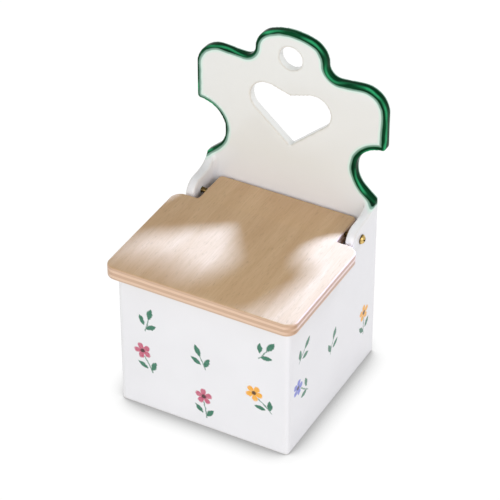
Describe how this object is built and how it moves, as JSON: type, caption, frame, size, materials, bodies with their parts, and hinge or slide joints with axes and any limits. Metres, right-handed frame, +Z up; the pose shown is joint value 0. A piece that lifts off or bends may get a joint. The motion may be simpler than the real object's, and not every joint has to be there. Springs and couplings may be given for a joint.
{
  "type": "salt box with hinged lid",
  "caption": "Square glazed ceramic wall box with a scalloped back plate, heart cut-out and hanging hole, closed by a notched plywood lid on brass hinge screws.",
  "frame": {"origin": "middle of the flat underside of the ceramic box, on the surface it stands on", "axes": "+X to the right seen from the front, +Y from the front wall to the back plate, +Z up"},
  "size_m": [0.1324, 0.127, 0.228],
  "materials": {
    "glazed_body": "glossy white glaze, plate edge brushed green",
    "lid_plywood": "oiled beech plywood, plies showing at the edges",
    "screw_brass": "plain brass, lightly polished"
  },
  "bodies": {
    "box": {"ceramic_body": "glazed_body"},
    "lid": {"lid": "lid_plywood", "hinge_screw_left": "screw_brass", "hinge_screw_right": "screw_brass"}
  },
  "joints": [
    {"name": "lid_hinge", "type": "hinge", "parent": "box", "child": "lid", "pos_m": [0, 0.0365, 0.1049], "axis": [-1, 0, 0], "range_deg": [0, 97.4]}
  ]
}
